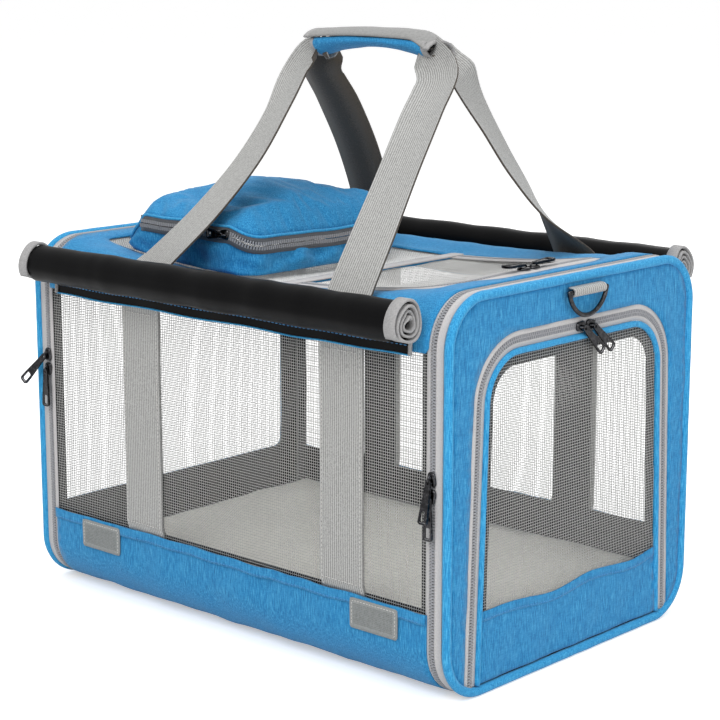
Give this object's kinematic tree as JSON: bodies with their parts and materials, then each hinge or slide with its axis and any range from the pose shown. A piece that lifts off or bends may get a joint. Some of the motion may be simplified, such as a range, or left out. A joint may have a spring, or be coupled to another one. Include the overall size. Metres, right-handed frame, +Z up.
{
  "type": "pet transport carrier",
  "caption": "Soft-sided pet carrier with net walls, arched zipped end door, roof door and pocket, roll-up shades, swing-open ends and a padded folding handle.",
  "frame": {"origin": "centre of the flat underside", "axes": "+X towards the end with the arched door, -Y towards the front side, +Z up"},
  "size_m": [0.522, 0.413, 0.524],
  "materials": {
    "blue_cloth": "heathered plain-weave polyester",
    "blue_piping": "corded woven piping",
    "grey_webbing": "ribbed woven webbing",
    "zip_tape": "zip tape with moulded coil",
    "open_mesh": "open square net of coated yarn",
    "black_cloth": "smooth coated cloth, soft sheen",
    "pad_cloth": "brushed pad cover",
    "stiff_board": "plain sheet",
    "spring_wire": "bright drawn wire",
    "gunmetal": "black nickel plating"
  },
  "bodies": {
    "shell": {"base_trough": "blue_cloth", "base_board": "stiff_board", "floor_pad": "pad_cloth", "side_mesh": "open_mesh", "side_webbing": "grey_webbing", "band_patches": "grey_webbing", "top_frame": "blue_cloth", "top_fixed_mesh": "open_mesh", "top_frame_zip": "zip_tape", "pocket_base": "blue_cloth", "pocket_zip": "zip_tape", "right_body_zip": "zip_tape", "left_body_zip": "zip_tape", "front_shade_sheet": "black_cloth", "rear_shade_sheet": "black_cloth"},
    "right_end": {"right_end_panel": "blue_cloth", "right_end_piping": "blue_piping", "right_end_hoop": "spring_wire", "right_end_zip": "zip_tape", "right_door_frame_zip": "zip_tape", "right_ring_loop": "grey_webbing"},
    "right_door": {"right_door_panel": "blue_cloth", "right_door_mesh": "open_mesh", "right_door_piping": "blue_piping", "right_door_zip": "zip_tape"},
    "right_ring": {"right_d_ring": "gunmetal"},
    "left_end": {"left_end_panel": "blue_cloth", "left_end_mesh": "open_mesh", "left_end_piping": "blue_piping", "left_end_hoop": "spring_wire", "left_end_zip": "zip_tape", "left_ring_loop": "grey_webbing"},
    "left_ring": {"left_d_ring": "gunmetal"},
    "top_door": {"top_door_zip": "zip_tape", "top_door_mesh": "open_mesh"},
    "pocket_cover": {"pocket_lid": "blue_cloth"},
    "front_loop": {"front_handle_strap": "grey_webbing", "grip_pad": "blue_cloth"},
    "rear_loop": {"rear_handle_strap": "grey_webbing", "grip_flap": "grey_webbing"},
    "front_shade": {"front_shade_roll": "black_cloth"},
    "rear_shade": {"rear_shade_roll": "black_cloth"},
    "pocket_slider": {"pocket_slider": "gunmetal"},
    "right_upper_slider": {"right_upper_slider": "gunmetal"},
    "right_upper_pull": {"right_upper_pull": "gunmetal"},
    "right_lower_slider": {"right_lower_slider": "gunmetal"},
    "right_lower_pull": {"right_lower_pull": "gunmetal"},
    "left_upper_slider": {"left_upper_slider": "gunmetal"},
    "left_upper_pull": {"left_upper_pull": "gunmetal"},
    "left_lower_slider": {"left_lower_slider": "gunmetal"},
    "left_lower_pull": {"left_lower_pull": "gunmetal"},
    "door_front_slider": {"door_front_slider": "gunmetal"},
    "door_front_pull": {"door_front_pull": "gunmetal"},
    "door_rear_slider": {"door_rear_slider": "gunmetal"},
    "door_rear_pull": {"door_rear_pull": "gunmetal"},
    "roof_front_slider": {"roof_front_slider": "gunmetal"},
    "roof_front_pull": {"roof_front_pull": "gunmetal"},
    "roof_rear_slider": {"roof_rear_slider": "gunmetal"},
    "roof_rear_pull": {"roof_rear_pull": "gunmetal"}
  },
  "joints": [
    {"name": "right_end_swing", "type": "hinge", "parent": "shell", "child": "right_end", "pos_m": [0.237, 0.17, 0], "axis": [0, 0, 1], "range_deg": [0, 100]},
    {"name": "left_end_swing", "type": "hinge", "parent": "shell", "child": "left_end", "pos_m": [-0.237, 0.17, 0], "axis": [0, 0, -1], "range_deg": [0, 100]},
    {"name": "right_door_open", "type": "hinge", "parent": "right_end", "child": "right_door", "pos_m": [0.2555, 0, 0.0085], "axis": [0, 1, 0], "range_deg": [0, 90]},
    {"name": "right_ring_swing", "type": "hinge", "parent": "right_end", "child": "right_ring", "pos_m": [0.257, 0.006, 0.32], "axis": [0, -1, 0], "range_deg": [0, 120]},
    {"name": "left_ring_swing", "type": "hinge", "parent": "left_end", "child": "left_ring", "pos_m": [-0.257, 0.006, 0.32], "axis": [0, 1, 0], "range_deg": [0, 120]},
    {"name": "handle_fold", "type": "hinge", "parent": "shell", "child": "front_loop", "pos_m": [0, -0.1615, 0.321], "axis": [1, 0, 0], "range_deg": [0, 75]},
    {"name": "rear_loop_fold", "type": "hinge", "parent": "shell", "child": "rear_loop", "pos_m": [0, 0.1615, 0.321], "axis": [-1, 0, 0], "range_deg": [0, 75.1]},
    {"name": "top_door_open", "type": "hinge", "parent": "shell", "child": "top_door", "pos_m": [0.03, 0, 0.335], "axis": [0, -1, 0], "range_deg": [0, 105]},
    {"name": "pocket_open", "type": "hinge", "parent": "shell", "child": "pocket_cover", "pos_m": [-0.19, 0, 0.35], "axis": [0, -1, 0], "range_deg": [0, 95]},
    {"name": "front_shade_drop", "type": "slide", "parent": "shell", "child": "front_shade", "axis": [0, 0, -1], "range_m": [0, 0.251], "deforming": ["front_shade_sheet"]},
    {"name": "rear_shade_drop", "type": "slide", "parent": "shell", "child": "rear_shade", "axis": [0, 0, -1], "range_m": [0, 0.251], "deforming": ["rear_shade_sheet"]},
    {"name": "pocket_slider_slide", "type": "slide", "parent": "shell", "child": "pocket_slider", "axis": [-1, 0, 0], "range_m": [0, 0.11]},
    {"name": "right_upper_slide", "type": "slide", "parent": "shell", "child": "right_upper_slider", "axis": [0, 0, 1], "range_m": [0, 0.095]},
    {"name": "right_upper_pull_swing", "type": "hinge", "parent": "right_upper_slider", "child": "right_upper_pull", "pos_m": [0.237, -0.1731, 0.188], "axis": [-1, 0, 0], "range_deg": [0, 120.1]},
    {"name": "right_lower_slide", "type": "slide", "parent": "shell", "child": "right_lower_slider", "axis": [0, 0, -1], "range_m": [0, 0.12]},
    {"name": "right_lower_pull_swing", "type": "hinge", "parent": "right_lower_slider", "child": "right_lower_pull", "pos_m": [0.237, -0.1731, 0.174], "axis": [-1, 0, 0], "range_deg": [0, 120]},
    {"name": "left_upper_slide", "type": "slide", "parent": "shell", "child": "left_upper_slider", "axis": [0, 0, 1], "range_m": [0, 0.06]},
    {"name": "left_upper_pull_swing", "type": "hinge", "parent": "left_upper_slider", "child": "left_upper_pull", "pos_m": [-0.237, -0.1731, 0.224], "axis": [-0.788, 0, 0.6157], "range_deg": [0, 120]},
    {"name": "left_lower_slide", "type": "slide", "parent": "shell", "child": "left_lower_slider", "axis": [0, 0, -1], "range_m": [0, 0.155]},
    {"name": "left_lower_pull_swing", "type": "hinge", "parent": "left_lower_slider", "child": "left_lower_pull", "pos_m": [-0.237, -0.1731, 0.21], "axis": [-1, 0, 0], "range_deg": [0, 105]},
    {"name": "door_front_slide", "type": "slide", "parent": "right_door", "child": "door_front_slider", "axis": [0, -1, 0], "range_m": [0, 0.07]},
    {"name": "door_front_pull_swing", "type": "hinge", "parent": "door_front_slider", "child": "door_front_pull", "pos_m": [0.2565, 0.002, 0.289], "axis": [0, -0.6691, -0.7431], "range_deg": [0, 100]},
    {"name": "door_rear_slide", "type": "slide", "parent": "right_door", "child": "door_rear_slider", "axis": [0, 1, 0], "range_m": [0, 0.055]},
    {"name": "door_rear_pull_swing", "type": "hinge", "parent": "door_rear_slider", "child": "door_rear_pull", "pos_m": [0.2565, 0.016, 0.289], "axis": [0, -0.6691, -0.7431], "range_deg": [0, 100]},
    {"name": "roof_front_slide", "type": "slide", "parent": "top_door", "child": "roof_front_slider", "axis": [0, -1, 0], "range_m": [0, 0.03]},
    {"name": "roof_front_pull_swing", "type": "hinge", "parent": "roof_front_slider", "child": "roof_front_pull", "pos_m": [0.212, -0.024, 0.3395], "axis": [-1, 0, 0], "range_deg": [0, 90]},
    {"name": "roof_rear_slide", "type": "slide", "parent": "top_door", "child": "roof_rear_slider", "axis": [0, 1, 0], "range_m": [0, 0.06]},
    {"name": "roof_rear_pull_swing", "type": "hinge", "parent": "roof_rear_slider", "child": "roof_rear_pull", "pos_m": [0.212, -0.01, 0.3395], "axis": [1, 0, 0], "range_deg": [0, 90]}
  ],
  "couplings": [
    {"joint": "rear_loop_fold", "follows": "handle_fold", "ratio": 1},
    {"joint": "top_door_open", "follows": "handle_fold", "ratio": 1.399},
    {"joint": "pocket_open", "follows": "handle_fold", "ratio": 1.266},
    {"joint": "right_upper_pull_swing", "follows": "right_lower_pull_swing", "ratio": 1}
  ]
}
